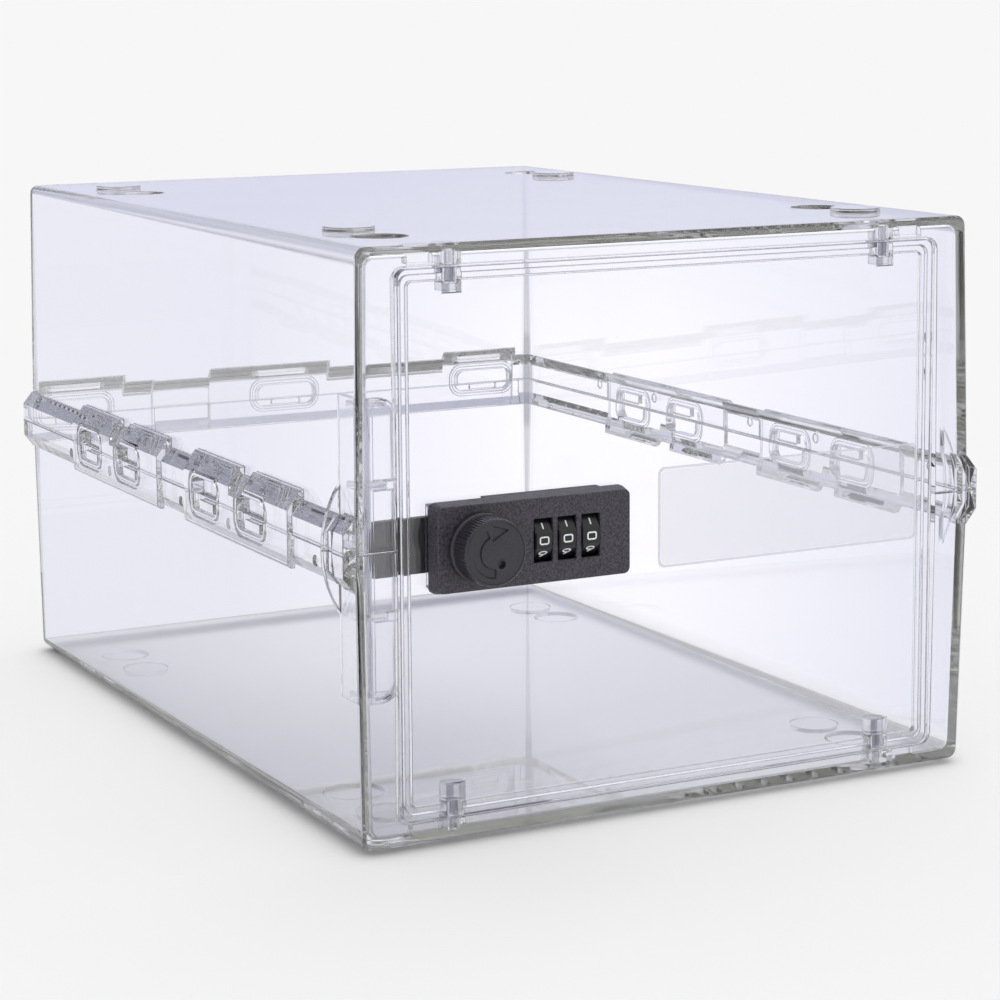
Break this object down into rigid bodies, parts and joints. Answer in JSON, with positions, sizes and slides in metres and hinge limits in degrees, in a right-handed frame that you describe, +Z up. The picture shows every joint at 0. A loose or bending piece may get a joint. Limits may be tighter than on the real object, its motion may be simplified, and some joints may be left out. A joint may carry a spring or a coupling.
{
  "type": "lockable storage box",
  "caption": "Clear plastic lockable box with a hinged front door, a combination lock with numbered dials, and a waist belt of clips.",
  "frame": {"origin": "middle of the footprint at the height the box stands on, under its raised discs", "axes": "+Z up, the door faces -Y, +X to the right as seen from the door"},
  "size_m": [0.211, 0.299, 0.1678],
  "materials": {
    "clear_shell": "clear polished plastic",
    "clear_door": "clear polished plastic",
    "clear_fitting": "clear plastic",
    "black_plastic": "fine textured",
    "black_gloss": "satin",
    "gasket": "matte",
    "steel": "zinc plated",
    "black_steel": "black coated",
    "brass": "stamped"
  },
  "bodies": {
    "box": {"upper_shell": "clear_shell", "lower_shell": "clear_shell", "strike_bracket": "clear_fitting", "hinge_pin_upper": "clear_fitting", "hinge_pin_lower": "clear_fitting"},
    "door": {"door_panel": "clear_door", "blank_pins": "clear_fitting", "lock_faceplate": "black_plastic", "faceplate_gasket": "gasket", "lock_housing": "black_plastic", "housing_cover": "black_plastic", "cover_screws": "steel", "lock_barrel": "steel", "barrel_washer": "steel", "barrel_nut": "steel", "dial_axle": "steel", "detent_spring": "steel"},
    "fence": {"locking_fence": "steel"},
    "knob_and_cam": {"knob": "black_plastic", "spindle": "steel", "cam": "black_steel", "cam_washer": "steel", "cam_screw": "steel"},
    "dial_unit_1": {"dial_1": "black_gloss", "code_disc_1": "brass"},
    "dial_unit_2": {"dial_2": "black_gloss", "code_disc_2": "brass"},
    "dial_unit_3": {"dial_3": "black_gloss", "code_disc_3": "brass"}
  },
  "joints": [
    {"name": "door_hinge", "type": "hinge", "parent": "box", "child": "door", "pos_m": [0.0706, -0.12935, 0.0839], "axis": [0, 0, 1], "range_deg": [0, 135]},
    {"name": "knob_turn", "type": "hinge", "parent": "door", "child": "knob_and_cam", "pos_m": [-0.066, -0.13495, 0.0839], "axis": [0, 1, 0], "range_deg": [0, 90]},
    {"name": "fence_drop", "type": "slide", "parent": "door", "child": "fence", "axis": [0, 0, -1], "range_m": [0, 0.0015]},
    {"name": "dial_1_turn", "type": "hinge", "parent": "door", "child": "dial_unit_1", "pos_m": [-0.0466, -0.13395, 0.0839], "axis": [1, 0, 0], "range_deg": [-360, 360]},
    {"name": "dial_2_turn", "type": "hinge", "parent": "door", "child": "dial_unit_2", "pos_m": [-0.03915, -0.13395, 0.0839], "axis": [1, 0, 0], "range_deg": [-360, 360]},
    {"name": "dial_3_turn", "type": "hinge", "parent": "door", "child": "dial_unit_3", "pos_m": [-0.0317, -0.13395, 0.0839], "axis": [1, 0, 0], "range_deg": [-360, 360]}
  ],
  "couplings": [
    {"joint": "fence_drop", "follows": "knob_turn", "m_per_rad": 0.00095492}
  ]
}
